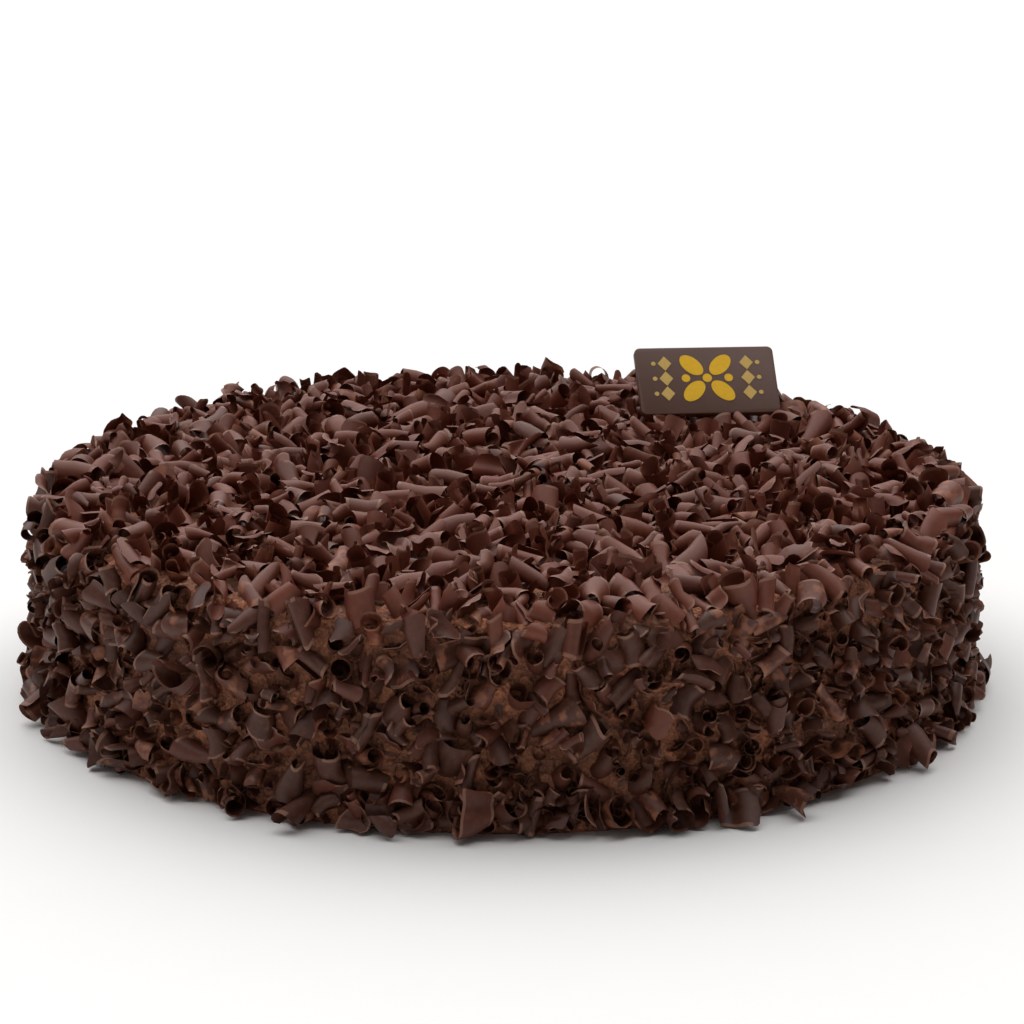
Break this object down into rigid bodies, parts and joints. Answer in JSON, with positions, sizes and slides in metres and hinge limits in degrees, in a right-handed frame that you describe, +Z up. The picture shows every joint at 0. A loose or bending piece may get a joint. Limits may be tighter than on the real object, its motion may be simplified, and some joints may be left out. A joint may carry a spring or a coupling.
{
  "type": "black forest cake",
  "caption": "Round chocolate layer cake covered all over with dark chocolate curls, with a small chocolate plaque leaning on top near the back.",
  "frame": {"origin": "middle of the flat underside of the cake", "axes": "+Z is up through the middle of the cake, the front of the cake faces -Y, and the plaque stands near the back edge towards +X"},
  "size_m": [0.2421, 0.2422, 0.07],
  "materials": {
    "chocolate_curls": "satin dark chocolate shaved into curls",
    "cocoa_cream": "matt cocoa cream, roughly spread",
    "plaque_chocolate": "smooth moulded chocolate with a soft sheen",
    "gold_print": "thin yellow cocoa-butter print"
  },
  "bodies": {
    "root": {"cake": "chocolate_curls", "plaque": "plaque_chocolate"}
  },
  "joints": []
}
